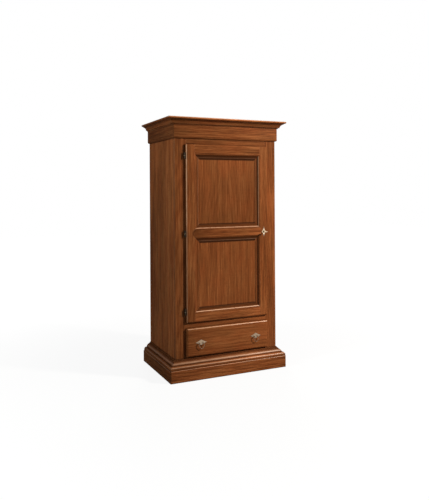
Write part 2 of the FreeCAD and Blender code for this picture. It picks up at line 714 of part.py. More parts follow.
def lock():
    """Rim lock on the door's back: case, and the bolt with the lug that the key pushes."""
    depth = (DOOR_BACK, DOOR_BACK + LOCK_THICKNESS)
    plate = box(LOCK_PLATE_X, (DOOR_BACK, DOOR_BACK + LOCK_WALL), LOCK_PLATE_Z)
    case = plate.fuse(box(LOCK_CASE_X, depth, LOCK_CASE_Z))
    hollow_x = shrunk(LOCK_CASE_X, LOCK_WALL)
    hollow_y = shrunk(depth, LOCK_WALL)
    case = case.cut(box(hollow_x, hollow_y, shrunk(LOCK_CASE_Z, LOCK_WALL)))
    mouth_x = (hollow_x[1] - 1.0, LOCK_CASE_X[1] + 1.0)
    case = case.cut(box(mouth_x, shrunk(BOLT_Y, -LOCK_FIT), shrunk(BOLT_BAR_Z, -LOCK_FIT)))
    case = case.cut(keyhole((DOOR_BACK - 1, hollow_y[0] + 0.1), 3.2, 3.4, 12.5))
    save("lock_case", with_screw_holes(case, lock_screws()))

    bar = box((hollow_x[0] + 1.0, LOCK_CASE_X[1] + 0.5), BOLT_Y, BOLT_BAR_Z)
    lug = box(LUG_X, BOLT_Y, (LUG_BOTTOM, BOLT_BAR_Z[0]))
    save("lock_bolt", bar.fuse(lug).removeSplitter())
    every = lock_screws() + escutcheon_screws()
    save("door_screws", *[screw(head, way) for head, way in every])


def key():
    """Key standing in the lock, its bow level: shank, collar, pierced bow and bit."""
    tip = BIT_Y[1] + 1.0
    bow_y = DOOR_FACE - KEY_STANDOFF + BOW_RADIUS + BOW_CREST
    shank = rod(SHANK_RADIUS, (KEY_X, tip, KEY_Z), (KEY_X, bow_y, KEY_Z))
    collar_y = DOOR_FACE - COLLAR_STANDOFF
    collar = rod(SHANK_RADIUS + 1.2, (KEY_X, collar_y, KEY_Z), (KEY_X, collar_y - 3.0, KEY_Z))
    half_bit = BIT_THICKNESS / 2
    bit = box((KEY_X - BIT_REACH, KEY_X), BIT_Y, (KEY_Z - half_bit, KEY_Z + half_bit))

    pieces = [collar, bit]
    holes = []
    for offset, crest in ((-BOW_SPREAD, 0.0), (BOW_SPREAD, 0.0), (0.0, BOW_CREST)):
        low = FreeCAD.Vector(KEY_X + offset, bow_y - crest, KEY_Z - BOW_THICKNESS / 2)
        pieces.append(Part.makeCylinder(BOW_RADIUS, BOW_THICKNESS, low, Z_AXIS))
        if offset:
            below = low - Z_AXIS
            holes.append(Part.makeCylinder(BOW_HOLE_RADIUS, BOW_THICKNESS + 2, below, Z_AXIS))
    body = shank.multiFuse(pieces)
    for hole in holes:
        body = body.cut(hole)
    save("key", body.removeSplitter())


def lozenge(centre, size, waist, y_range):
    """Plate with four tips joined by hollow curves, standing across Y."""
    half_width = size[0] / 2
    half_height = size[1] / 2
    tips = [(half_width, 0.0), (0.0, half_height), (-half_width, 0.0), (0.0, -half_height)]
    edges = []
    for index, here in enumerate(tips):
        ahead = tips[(index + 1) % 4]
        mid = (waist * (here[0] + ahead[0]), waist * (here[1] + ahead[1]))
        points = [(centre[0] + u, y_range[0], centre[1] + v) for u, v in (here, mid, ahead)]
        edges.append(Part.Arc(*[FreeCAD.Vector(*point) for point in points]).toShape())
    face = Part.Face(Part.Wire(edges))
    return face.extrude(FreeCAD.Vector(0, y_range[1] - y_range[0], 0))


def escutcheon():
    """Upright lozenge plate round the keyhole."""
    y_range = (DOOR_FACE - ESCUTCHEON_THICKNESS, DOOR_FACE)
    plate = lozenge((KEY_X, KEY_Z), ESCUTCHEON_SIZE, ESCUTCHEON_WAIST, y_range)
    plate = plate.cut(keyhole((y_range[0] - 1, y_range[1] + 1), 6.2, 4.4, 14.5))
    save("escutcheon", with_screw_holes(plate, escutcheon_screws()))


# ---- Drawer -------------------------------------------------------------------------
def pull_post_points():
    """Where the four pull posts stand, at the height of the bails' axis."""
    half = POST_SPACING / 2
    return [(x + offset, BAIL_AXIS_Z) for x in (-PULL_X, PULL_X) for offset in (-half, half)]


def drawer():
    """Front with rounded edges, two sides housed in it, back and a grooved-in bottom."""
    depth = (DRAWER_FACE, DRAWER_BACK_OF_FRONT)
    front = box((-DRAWER_FRONT_WIDTH / 2, DRAWER_FRONT_WIDTH / 2), depth, DRAWER_FRONT)
    edges = edges_where(front, lambda p: abs(p.y - DRAWER_FACE) < 1e-3)
    front = front.makeFillet(DRAWER_EDGE_RADIUS, edges)
    for x, z in pull_post_points():
        hole = rod(POST_RADIUS + HOLE_CLEARANCE, (x, depth[0] - 1, z), (x, depth[1] + 1, z))
        front = front.cut(hole)
    bottom_x = BOX_X - DRAWER_SIDE + DRAWER_GROOVE
    bottom_y = (DRAWER_BACK_OF_FRONT - DRAWER_GROOVE, BOX_BACK)
    bottom = box((-bottom_x, bottom_x), bottom_y, DRAWER_BOTTOM_Z)
    side_z = (BOX_BOTTOM, BOX_BOTTOM + DRAWER_SIDE_HEIGHT)
    side_y = (DRAWER_BACK_OF_FRONT - DRAWER_HOUSING, BOX_BACK)
    side = box((-BOX_X, -BOX_X + DRAWER_SIDE), side_y, side_z).cut(bottom)
    save("drawer_front", front.cut(bottom).cut(side).cut(mirrored(side)))
    save("drawer_bottom", bottom)
    save("drawer_side_left", side)
    save("drawer_side_right", mirrored(side))
    back_x = (-BOX_X + DRAWER_SIDE, BOX_X - DRAWER_SIDE)
    back_z = (DRAWER_BOTTOM_Z[1], side_z[1] - DRAWER_BACK_DROP)
    save("drawer_back", box(back_x, (BOX_BACK - DRAWER_SIDE, BOX_BACK), back_z))


def pull_plates():
    """Lozenge back plates of the two pulls, drilled for the posts."""
    y_range = (DRAWER_FACE - PLATE_THICKNESS, DRAWER_FACE)
    plates = []
    for centre_x in (-PULL_X, PULL_X):
        plate = lozenge((centre_x, PULL_Z), PLATE_SIZE, PLATE_WAIST, y_range)
        for x, z in pull_post_points():
            hole_start = (x, y_range[0] - 1, z)
            plate = plate.cut(rod(POST_RADIUS + HOLE_CLEARANCE, hole_start, (x, y_range[1] + 1, z)))
        plates.append(plate)
    save("pull_plates", *plates)


def pull_post(x, z):
    """Eyed post: collar on the plate, neck, eye across it and a shank through the front."""
    plate_face = DRAWER_FACE - PLATE_THICKNESS
    at_plate = (x, plate_face, z)
    eye_half = EYE_LENGTH / 2
    eye = rod(EYE_RADIUS, (x - eye_half, BAIL_AXIS_Y, z), (x + eye_half, BAIL_AXIS_Y, z))
    neck = rod(NECK_RADIUS, (x, BAIL_AXIS_Y, z), at_plate)
    collar = rod(COLLAR_RADIUS, (x, plate_face - COLLAR_THICKNESS, z), at_plate)
    shank = rod(POST_RADIUS, at_plate, (x, DRAWER_BACK_OF_FRONT + NUT_THICKNESS + 1.8, z))
    bore_radius = BAIL_PIN_RADIUS + RUNNING_CLEARANCE
    bore = rod(bore_radius, (x - EYE_LENGTH, BAIL_AXIS_Y, z), (x + EYE_LENGTH, BAIL_AXIS_Y, z))
    return eye.multiFuse([neck, shank, collar]).cut(bore)


def pull_nut(x, z):
    """Hexagonal nut behind the drawer front."""
    corners = []
    for step in range(6):
        angle = math.radians(60 * step)
        u = x + NUT_RADIUS * math.cos(angle)
        v = z + NUT_RADIUS * math.sin(angle)
        corners.append(FreeCAD.Vector(u, DRAWER_BACK_OF_FRONT, v))
    nut = Part.Face(Part.makePolygon(corners + corners[:1]))
    nut = nut.extrude(FreeCAD.Vector(0, NUT_THICKNESS, 0))
    thread_start = (x, DRAWER_BACK_OF_FRONT - 1, z)
    thread_end = (x, DRAWER_BACK_OF_FRONT + NUT_THICKNESS + 1, z)
    return nut.cut(rod(POST_RADIUS + NUT_THREAD_CLEARANCE, thread_start, thread_end))


def bail(centre_x):
    """Drop bail: two pins in the posts' eyes, arms that curve down to a pointed foot."""
    half = POST_SPACING / 2 + BAIL_OUTSIDE_POST

    def at(u, v):
        return FreeCAD.Vector(centre_x + u, BAIL_AXIS_Y, BAIL_AXIS_Z + v)

    shape = Part.makeSphere(BAIL_FOOT_RADIUS, at(0.0, -BAIL_DROP))
    for sign in (-1, 1):
        top = at(sign * half, 0.0)
        swell = at(sign * (half + 1.5), -14.0)
        knee = at(sign * 11.0, 7.0 - BAIL_DROP)
        centre_line = Part.BSplineCurve()
        centre_line.interpolate([top, swell, knee, at(0.0, -BAIL_DROP)])
        ring = Part.makeCircle(BAIL_RADIUS, top, centre_line.tangent(0.0)[0])
        arm = Part.Wire(centre_line.toShape()).makePipe(Part.Face(Part.Wire(ring)))
        pin_end = at(sign * (POST_SPACING / 2 - EYE_LENGTH / 2 + 0.5), 0.0)
        shape = shape.fuse(arm).fuse(Part.makeSphere(BAIL_KNOB_RADIUS, top))
        shape = shape.fuse(rod(BAIL_PIN_RADIUS, top, pin_end))
    return shape.removeSplitter()


os.makedirs("parts", exist_ok=True)
crown()
frieze()
base_moulding()
plinth()
side_boards()
face_frame()
boards_inside()
hanging_rail()
carcass_screws()
drawer_runners()
door_frame()
door_panels()
hinges()
lock()
key()
escutcheon()
drawer()
pull_plates()
save("pull_posts", *[pull_post(x, z) for x, z in pull_post_points()])
save("pull_nuts", *[pull_nut(x, z) for x, z in pull_post_points()])
save("pull_bail_left", bail(-PULL_X))
save("pull_bail_right", bail(PULL_X))
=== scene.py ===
import math
from collections import namedtuple

import bpy
from mathutils import Matrix, Vector


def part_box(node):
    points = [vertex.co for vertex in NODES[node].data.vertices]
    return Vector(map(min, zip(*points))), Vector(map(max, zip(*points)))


# A bonnetiere with one door and one drawer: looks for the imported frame. Metres, +Z up, front -Y.
# Every visible piece is a CAD node. This script makes their materials, the camera and a studio.

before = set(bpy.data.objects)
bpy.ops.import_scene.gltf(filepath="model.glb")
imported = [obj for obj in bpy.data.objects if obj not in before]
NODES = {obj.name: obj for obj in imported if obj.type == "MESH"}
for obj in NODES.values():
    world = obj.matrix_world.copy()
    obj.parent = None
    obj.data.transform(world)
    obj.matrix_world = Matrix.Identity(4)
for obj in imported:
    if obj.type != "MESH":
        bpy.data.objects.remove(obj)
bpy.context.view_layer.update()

WHITE = (1.0, 1.0, 1.0)


def rgb(red, green, blue):
    """A colour with full alpha, as sockets and ramps take it."""
    return (red, green, blue, 1.0)


def add_object(name, data):
    """A new object in the scene that holds a camera, a mesh or a light."""
    made = bpy.data.objects.new(name, data)
    bpy.context.scene.collection.objects.link(made)
    return made


# ---- Camera, fitted to the straight edges of the cabinet in the photo ---------------
CAMERA_PLACE = (-1.9669, -4.3038, 1.4349)
CAMERA_TURN = -24.717       # degrees about Z, below zero to the right
CAMERA_ROLL = -0.301        # degrees about the line of sight
FOCAL = 40.957              # mm
SENSOR_WIDTH = 36.0         # mm, the long side of the picture
SHIFT_Y = -0.11727          # of the picture's long side


def make_camera():
    """The photo's camera, which stands level and turns to the right."""
    data = bpy.data.cameras.new("camera")
    data.lens = FOCAL
    data.sensor_width = SENSOR_WIDTH
    data.shift_y = SHIFT_Y
    camera = add_object("camera", data)
    turn = Matrix.Rotation(math.radians(CAMERA_TURN), 4, "Z")
    level = Matrix.Rotation(math.radians(90.0), 4, "X")
    roll = Matrix.Rotation(math.radians(CAMERA_ROLL), 4, "Z")
    camera.matrix_world = Matrix.Translation(CAMERA_PLACE) @ turn @ level @ roll
    bpy.context.scene.camera = camera


make_camera()

# ---- Node helpers -------------------------------------------------------------------
NOISE_MIDDLE = 0.5          # a noise swings about this
GIVES_A_NUMBER = ("LENGTH", "DOT_PRODUCT")
MIX_SOCKETS = {"RGBA": (6, 7, 2), "VECTOR": (4, 5, 1)}      # inputs A and B, and the result
EDGE_SAMPLES = 4            # rays that round an edge for shading
CORNER_SAMPLES = 6          # rays that look for a corner


class Graph:
    """Short calls for making and joining shader nodes in one tree."""

    def __init__(self, tree):
        self.tree = tree

    def node(self, kind, inputs=None, **settings):
        """A new node, with its settings and then its inputs."""
        made = self.tree.nodes.new(kind)
        for name, value in settings.items():
            setattr(made, name, value)
        for name, value in (inputs or {}).items():
            self.feed(made.inputs[name], value)
        return made

    def feed(self, socket, value):
        """Join a socket to another one, or set its own value."""
        if isinstance(value, bpy.types.NodeSocket):
            self.tree.links.new(value, socket)
        else:
            socket.default_value = value

    def math(self, operation, first, second=0.0, clamp=False):
        inputs = {0: first, 1: second}
        return self.node("ShaderNodeMath", inputs, operation=operation, use_clamp=clamp).outputs[0]

    def scaled(self, value, factor, base, clamp=False):
        """The value times the factor, on top of the base."""
        inputs = {0: value, 1: factor, 2: base}
        made = self.node("ShaderNodeMath", inputs, operation="MULTIPLY_ADD", use_clamp=clamp)
        return made.outputs[0]

    def one_minus(self, value, clamp=False):
        return self.math("SUBTRACT", 1.0, value, clamp)

    def above(self, value, start, slope):
        """Nothing up to the start, then rising by the slope to 1 at most."""
        return self.math("MULTIPLY", self.math("SUBTRACT", value, start), slope, clamp=True)

    def vector(self, operation, first, second=(0.0, 0.0, 0.0)):
        made = self.node("ShaderNodeVectorMath", {0: first, 1: second}, operation=operation)
        return made.outputs["Value" if operation in GIVES_A_NUMBER else "Vector"]

    def place(self):
        """Where a point lies in the frame at rest: every node's object sits at the origin."""
        return self.node("ShaderNodeTexCoord").outputs["Object"]

    def split(self, vector):
        return self.node("ShaderNodeSeparateXYZ", {"Vector": vector}).outputs

    def noise(self, place, cells, octaves=2.0, roughness=0.5):
        """Noise with so many cells in a metre: one number, or one for each axis."""
        if isinstance(cells, tuple):
            place = self.vector("MULTIPLY", place, cells)
            cells = 1.0
        inputs = {"Vector": place, "Scale": cells, "Detail": octaves, "Roughness": roughness}
        return self.node("ShaderNodeTexNoise", inputs).outputs["Fac"]

    def ramp(self, value, stops, interpolation="LINEAR"):
        """The grey or colour that the stops, each a place and a tone, give to a value."""
        made = self.node("ShaderNodeValToRGB", {"Fac": value})
        ramp = made.color_ramp
        ramp.interpolation = interpolation
        while len(ramp.elements) < len(stops):
            ramp.elements.new(1.0)
        for element, (place, tone) in zip(ramp.elements, stops):
            element.position = place
            element.color = tone if isinstance(tone, tuple) else rgb(tone, tone, tone)
        return made.outputs["Color"]

    def mix(self, amount, first, second, blend="MIX", kind="RGBA"):
        """The first value with so much of the second in it."""
        made = self.node("ShaderNodeMix", data_type=kind, blend_type=blend)
        socket_a, socket_b, result = MIX_SOCKETS[kind]
        self.feed(made.inputs["Factor"], amount)
        self.feed(made.inputs[socket_a], first)
        self.feed(made.inputs[socket_b], second)
        return made.outputs[result]

    def tinted(self, colour, tint):
        return self.mix(1.0, colour, tint, "MULTIPLY")

    def soft_normal(self, radius):
        """The normal as if every edge were rounded to the radius."""
        return self.node("ShaderNodeBevel", {"Radius": radius}, samples=EDGE_SAMPLES).outputs["Normal"]

    def openness(self, reach):
        """How open the surface is, from 0 deep in a corner to 1."""
        made = self.node("ShaderNodeAmbientOcclusion", {"Distance": reach}, samples=CORNER_SAMPLES)
        return made.outputs["AO"]

    def show(self, shader):
        """Make a shader the surface of the material."""
        self.node("ShaderNodeOutputMaterial", {"Surface": shader.outputs[0]})


def new_material(name):
    """An empty material, and the graph that fills it."""
    material = bpy.data.materials.new(name)
    material.use_nodes = True
    material.node_tree.nodes.clear()
    return material, Graph(material.node_tree)


def is_seen(graph):
    """1 for rays that show a surface, and 0 for those that carry its light to others."""
    rays = graph.node("ShaderNodeLightPath").outputs
    seen = graph.math("MAXIMUM", rays["Is Camera Ray"], rays["Is Glossy Ray"])
    return graph.math("MAXIMUM", seen, rays["Is Transmission Ray"])


# ---- Kinds of wood ------------------------------------------------------------------
# stops: the colour for each tone of the figure
# roughness: where the figure is darkest, and where it is palest
# bump: the relief of the grain
WALNUT = {
    "stops": [
        (0.05, rgb(0.092, 0.0258, 0.0075)),
        (0.38, rgb(0.158, 0.0461, 0.0132)),
        (0.62, rgb(0.215, 0.0650, 0.0188)),
        (0.95, rgb(0.300, 0.1040, 0.0340)),
    ],
    "pore": rgb(0.045, 0.013, 0.005),
    # pale colour of worn edges, and of the painted highlights on rounded edges
    "wear_and_highlight": rgb(0.61, 0.335, 0.19),
    # dark colour of painted shade in corners and hollows, together with dirt
    "shade_and_grime": rgb(0.026, 0.009, 0.004),
    "roughness": (0.28, 0.44),
    "bump": 0.00012,
}
PLAIN = {
    "stops": [
        (0.05, rgb(0.26, 0.15, 0.075)),
        (0.45, rgb(0.40, 0.25, 0.135)),
        (0.95, rgb(0.54, 0.37, 0.22)),
    ],
    "pore": rgb(0.16, 0.09, 0.045),
    "wear_and_highlight": rgb(0.60, 0.45, 0.30),
    "shade_and_grime": rgb(0.13, 0.085, 0.05),
    "roughness": (0.55, 0.75),
    "bump": 0.00018,
}
THIN = {
    "stops": [
        (0.05, rgb(0.24, 0.135, 0.065)),
        (0.50, rgb(0.36, 0.22, 0.115)),
        (0.95, rgb(0.47, 0.31, 0.18)),
    ],
    "pore": rgb(0.15, 0.08, 0.04),
    "wear_and_highlight": rgb(0.52, 0.38, 0.24),
    "shade_and_grime": rgb(0.12, 0.075, 0.04),
    "roughness": (0.60, 0.80),
    "bump": 0.00015,
}

# ---- Boards -------------------------------------------------------------------------
# tones: painted light and shade across the cabinet, with the board's own tone, at even steps from its left,
# lower or front end
# figure: how strong its figure is
# upper, left: how strong the painted highlight is on its upper and on its left rounded edges
# across: another axis, and tones at even steps along it
# glued: whether those are separate boards, glued edge to edge
# The tones follow the photo's broad steps of light and dark.
BOARD_FIELDS = ("tones", "figure", "upper", "left", "across", "glued")
Board = namedtuple("Board", BOARD_FIELDS, defaults=(None, 1.0, 0.0, 0.0, None, False))

PLAIN_BOARD = Board()
COMMON_BOARD = Board(upper=0.5, left=0.3)
SIDE_BOARDS = Board((0.84, 0.84, 1.04), figure=2.0, across=("y", (1.18, 0.96, 1.01, 1.00)), glued=True)
# tones by height on the base and crown mouldings: painted highlights on their rounded parts, painted shade
# below them
BASE_LIGHT_STEPS = ("z", (1.05, 1.04, 1.06, 1.75, 1.00, 1.06, 1.10, 1.25, 0.80))
CROWN_LIGHT_STEPS = ("z", (0.98, 0.62, 0.88, 0.80, 0.84, 1.60, 1.50))

BOARDS = {
    "crown_left": Board((0.80, 0.80), figure=1.5, upper=0.5),
    "crown_front": Board((0.98, 1.14, 0.86), figure=1.6, upper=1.3, across=CROWN_LIGHT_STEPS),
    "frieze_left": Board((0.64, 0.49, 0.58), figure=1.6, upper=0.3),
    "frieze_right": Board((0.85, 0.85), figure=1.6, upper=0.3),
    "frieze_front": Board((0.62, 1.06, 1.30), figure=2.0, upper=0.5),
    "base_moulding_left": Board((0.70, 0.62), figure=1.6, upper=0.25),
    "base_moulding_front": Board((0.52, 0.70, 0.86, 1.04, 0.74), figure=1.4, upper=0.75, across=BASE_LIGHT_STEPS),
    "plinth_left": Board((0.48, 0.48, 0.62), figure=1.8, upper=0.3),
    "plinth_front": Board((0.82, 1.36, 1.02), figure=2.0, upper=0.6),
    "side_left": SIDE_BOARDS,
    "side_right": SIDE_BOARDS,
    "post_left": Board((0.68, 0.72, 1.02), figure=1.6, left=0.2),
    "post_right": Board((0.85, 1.34, 0.94), figure=1.6, left=0.3),
    "frame_top_rail": Board((0.67, 0.87, 1.04), figure=1.8),
    "frame_mid_rail": Board((0.80, 1.25), figure=1.4),
    "door_top_rail": Board((0.88, 0.98, 1.06), figure=2.3),
    "door_mid_rail": Board((0.58, 0.97, 1.34), figure=2.3, upper=0.6),
    "door_bottom_rail": Board((1.04, 1.20, 1.48), figure=2.2, upper=0.6),
    "door_stile_hinge": Board((0.71, 0.89, 1.11), figure=1.9, left=1.35),
    "door_stile_lock": Board((1.34, 1.08, 0.98), figure=1.8, left=0.3),
    "door_panel_upper": Board((0.87, 0.84, 1.02), figure=1.3, across=("x", (1.12, 1.02, 0.94))),
    "door_panel_lower": Board(figure=1.25, across=("x", (1.14, 0.99, 0.98))),
    "panel_moulding_upper": Board(figure=1.2, upper=1.2, left=0.9),
    "panel_moulding_lower": Board(figure=1.2, upper=1.7),
    "drawer_front": Board((0.76, 1.04, 1.24), figure=1.35, upper=1.3),
}


def both_sides(kinds):
    """The names of the left and the right board of each kind."""
    return tuple(f"{kind}_{side}" for kind in kinds for side in ("left", "right"))


RETURNS = ("crown", "frieze", "base_moulding", "plinth")    # they run back along both sides
DULL = both_sides(RETURNS + ("side",))                      # boards with less wax

# the axis along which the grain of each board runs; walnut boards not named here stand upright
ALONG_X = (
    "crown_front", "frieze_front", "base_moulding_front", "plinth_front",
    "frame_top_rail", "frame_mid_rail", "frame_bottom_rail",
    "door_top_rail", "door_mid_rail", "door_bottom_rail", "drawer_front",
)
ALONG_Y = both_sides(RETURNS)
PLAIN_NODES = {
    "carcass_top": "x",
    "carcass_bottom": "x",
    "compartment_floor": "x",
    "hat_shelf": "x",
    "plinth_back": "x",
    "crown_back_rail": "x",
    "drawer_back": "x",
    "drawer_side_left": "y",
    "drawer_side_right": "y",
    "drawer_runner_left": "y",
    "drawer_runner_right": "y",
    "plinth_corner_blocks": "z",
}
THIN_NODES = {"back_panel": "z", "drawer_bottom": "x"}


def walnut_grain(name):
    """The axis of a walnut board's grain. Round a panel it follows the strips of the frame."""
    if name.startswith("panel_moulding"):
        return "frame"
    if name in ALONG_X:
        return "x"
    return "y" if name in ALONG_Y else "z"


# ---- Wood: its figure ---------------------------------------------------------------
WANDER_CELLS = (3.0, 3.0, 0.9)
WANDER = (0.07, 0.042)      # how far the trunk's middle strays, along X and Y
RING_SPACING = 0.0075       # between growth rings
RING_SLANT = 0.035          # what a metre along the trunk counts for in a ring's radius
LATE_NARROW = 2.2           # narrows the dark late wood of each ring
LATE_DARK = 0.09            # how much that lowers the tone
TONE_LIFT = 0.03            # makes up for the late wood
FIGURE_LAYERS = {           # cells across and along, octaves, roughness, weight in the tone
    "bands": (17.0, 0.9, 3.0, 0.60, 0.45),
    "streaks": (105.0, 3.0, 3.0, 0.65, 0.95),
    "fibres": (520.0, 11.0, 2.0, 0.60, 0.85),
    "clouds": (4.5, 1.6, 2.0, 0.50, 0.40),
}
TONE_MIDDLE = 0.5
PORE_CELLS = (1300.0, 1300.0, 34.0)
PORE_START = 0.60           # a pore is where its noise is above this
PORE_SLOPE = 7.0            # and opens this fast
FIBRE_RELIEF = 0.5
LATE_RELIEF = 0.25
PORE_RELIEF = -0.5


def late_wood(graph, place):
    """Growth rings round a trunk that stands a little crooked: 1 in their dark late wood."""
    stray = graph.math("SUBTRACT", graph.noise(place, WANDER_CELLS, octaves=3.0), NOISE_MIDDLE)
    aside = {axis: graph.math("MULTIPLY", stray, reach) for axis, reach in zip("XY", WANDER)}
    shift = graph.node("ShaderNodeCombineXYZ", aside).outputs[0]
    bent = graph.vector("ADD", place, shift)
    radius = graph.vector("LENGTH", graph.vector("MULTIPLY", bent, (1.0, 1.0, RING_SLANT)))
    wave = graph.math("SINE", graph.math("MULTIPLY", radius, 2.0 * math.pi / RING_SPACING))
    from_zero_to_one = graph.scaled(wave, 0.5, 0.5)
    return graph.math("POWER", from_zero_to_one, LATE_NARROW)


def make_grain_group():
    """Solid wood figure along Z: a tone from 0 to 1, open pores, and a height for bump."""
    tree = bpy.data.node_groups.new("wood_figure", "ShaderNodeTree")
    face = tree.interface
    face.new_socket("Vector", in_out="INPUT", socket_type="NodeSocketVector")
    for name in ("Tone", "Pores", "Height"):
        face.new_socket(name, in_out="OUTPUT", socket_type="NodeSocketFloat")
    graph = Graph(tree)
    place = graph.node("NodeGroupInput").outputs["Vector"]
    late = late_wood(graph, place)

    tone = TONE_MIDDLE
    layers = {}
    for name, (across, along, octaves, roughness, weight) in FIGURE_LAYERS.items():
        layers[name] = graph.noise(place, (across, across, along), octaves, roughness)
        tone = graph.scaled(graph.math("SUBTRACT", layers[name], NOISE_MIDDLE), weight, tone)
    tone = graph.scaled(late, -LATE_DARK, tone)
    tone = graph.math("ADD", tone, TONE_LIFT, clamp=True)

    pores = graph.above(graph.noise(place, PORE_CELLS, octaves=1.0), PORE_START, PORE_SLOPE)
    height = graph.math("MULTIPLY", layers["fibres"], FIBRE_RELIEF)
    height = graph.scaled(late, LATE_RELIEF, height)
    height = graph.scaled(pores, PORE_RELIEF, height)
    graph.node("NodeGroupOutput", {"Tone": tone, "Pores": pores, "Height": height})
    return tree


GRAIN = make_grain_group()

# which axes of the cabinet stand for X, Y and Z in the figure, by the axis of the grain
GRAIN_ORDERS = {"x": "YZX", "y": "XZY", "z": "XYZ"}
CUT_NEAREST = (0.045, 0.060)        # the cut nearest the trunk's middle, along X and Y
CUT_STEP = (0.071, 0.037)
CUT_PLACES = (5, 7)                 # so many steps each way before a cut comes back
CUT_RISE = 0.53                     # up the trunk from one board to the next
GLUED_SHIFT = (1.7, 1.3, 9.0)       # for each unit of tone between boards glued together


def turned(graph, parts, grain):
    """The place with the grain's axis turned to Z."""
    sockets = {axis: parts[letter] for axis, letter in zip("XYZ", GRAIN_ORDERS[grain])}
    return graph.node("ShaderNodeCombineXYZ", sockets).outputs[0]


def into_frame(graph, parts, panel):
    """How far a place is inside the sides of a panel's frame, and inside its nearer end."""
    from_side = graph.math("SUBTRACT", panel.half_width, graph.math("ABSOLUTE", parts["X"]))
    from_low = graph.math("SUBTRACT", parts["Z"], panel.low)
    from_high = graph.math("SUBTRACT", panel.high, parts["Z"])
    return from_side, graph.math("MINIMUM", from_low, from_high)


def along_grain(graph, grain, panel):
    """The place in the wood, with the grain turned to Z."""
    parts = graph.split(graph.place())
    if grain != "frame":
        return turned(graph, parts, grain)
    from_side, from_end = into_frame(graph, parts, panel)
    upright = graph.math("LESS_THAN", from_side, from_end)
    return graph.mix(upright, turned(graph, parts, "x"), turned(graph, parts, "z"), kind="VECTOR")


def own_cut(graph, place, seed):
    """Each board's own place in the trunk."""
    each_way = zip(CUT_NEAREST, CUT_STEP, CUT_PLACES)
    aside = [nearest + step * (seed % places) for nearest, step, places in each_way]
    return graph.vector("ADD", place, (*aside, CUT_RISE * seed))


HUE_CELLS = (14.0, 14.0, 5.0)
HUE_DRIFT = [(0.32, rgb(1.05, 0.975, 0.95)), (0.68, rgb(0.955, 1.025, 1.04))]
PORE_DARK = 0.75


def figured_colour(graph, figure, cut, look, strength):
    """The colour of clean wood: its figure, a slow drift of hue, and dark pores."""
    tone = graph.scaled(figure["Tone"], strength, TONE_MIDDLE - TONE_MIDDLE * strength)
    colour = graph.ramp(tone, look["stops"])
    colour = graph.tinted(colour, graph.ramp(graph.noise(cut, HUE_CELLS), HUE_DRIFT))
    return graph.mix(graph.math("MULTIPLY", figure["Pores"], PORE_DARK), colour, look["pore"])


def tones_over(graph, axis, tones, box, stepped=False):
    """Tones at even steps along one axis of a board, from its left, lower or front end.

    They run into each other, or change at once where boards are glued.
    """
    index = "xyz".index(axis)
    low, high = box[0][index], box[1][index]
    along = graph.math("SUBTRACT", graph.split(graph.place())[index], low)
    along = graph.math("DIVIDE", along, high - low)
    steps = len(tones) if stepped else len(tones) - 1
    stops = [(step / steps, tone) for step, tone in enumerate(tones)]
    return graph.ramp(along, stops, "CONSTANT" if stepped else "LINEAR")


# ---- Wood: its wear, painted highlights and shade, dirt and wax ---------------------
EDGE_RADIUS = 0.0016        # that edges are rounded to for shading
EDGE_WEAR = 4.5             # how fast wear grows as an edge turns the normal
EDGE_PALE = 0.55            # most of the worn colour that an edge takes
# patches for the worn edges and for the painted edge highlights
WEAR_AND_HIGHLIGHT_CELLS = (60.0, 60.0, 22.0)
HIGHLIGHT_LEAST = 0.35           # added to the patches where edges get the painted highlight

FLAT_SHARE = 0.998          # a normal with a larger share than this along an axis is a flat face
ROUND_SLOPE = 7.0
UP_PEAK = 0.55              # the share of the normal along Z that gets the brightest painted highlight
UP_SLOPE = 3.2
LEFT_SLOPE = 1.1
LEVEL_SLOPE = 3.0           # left edges that tilt get less painted highlight
HIGHLIGHT_HEIGHT = 1.05          # left edges get the painted highlight in full from a little above this height
HIGHLIGHT_HEIGHT_SLOPE = 6.0            # how fast they come to that, for each metre
HIGHLIGHT_BELOW = 0.55           # how strong their painted highlight is lower down, against 1

CORNER_REACH = 0.010        # from a corner to wood with no painted shade or dirt
CORNER_POWER = 1.8          # above 1, the painted shade and dirt spread further out of the corner
CORNER_DARK = 0.85

WAX = 0.04
DULL_WAX = 0.02
HIGHLIGHT_WAX = 0.7            # more wax shows where an upper edge has its painted highlight
WAX_ROUGHNESS = 0.30
DARKENED_ROUGHNESS = 0.25       # added where corners and moulding hollows are darkened by painted shade and dirt
GRAIN_RELIEF = 0.8          # how much of the bump shows


def worn_edges(graph, colour, soft, patchy, look):
    """Paler wood on every edge, in patches."""
    hard = graph.node("ShaderNodeNewGeometry").outputs["Normal"]
    turn = graph.one_minus(graph.vector("DOT_PRODUCT", soft, hard))
    wear = graph.math("MULTIPLY", turn, graph.math("MULTIPLY", patchy, EDGE_WEAR), clamp=True)
    return graph.mix(graph.math("MULTIPLY", wear, EDGE_PALE), colour, look["wear_and_highlight"])


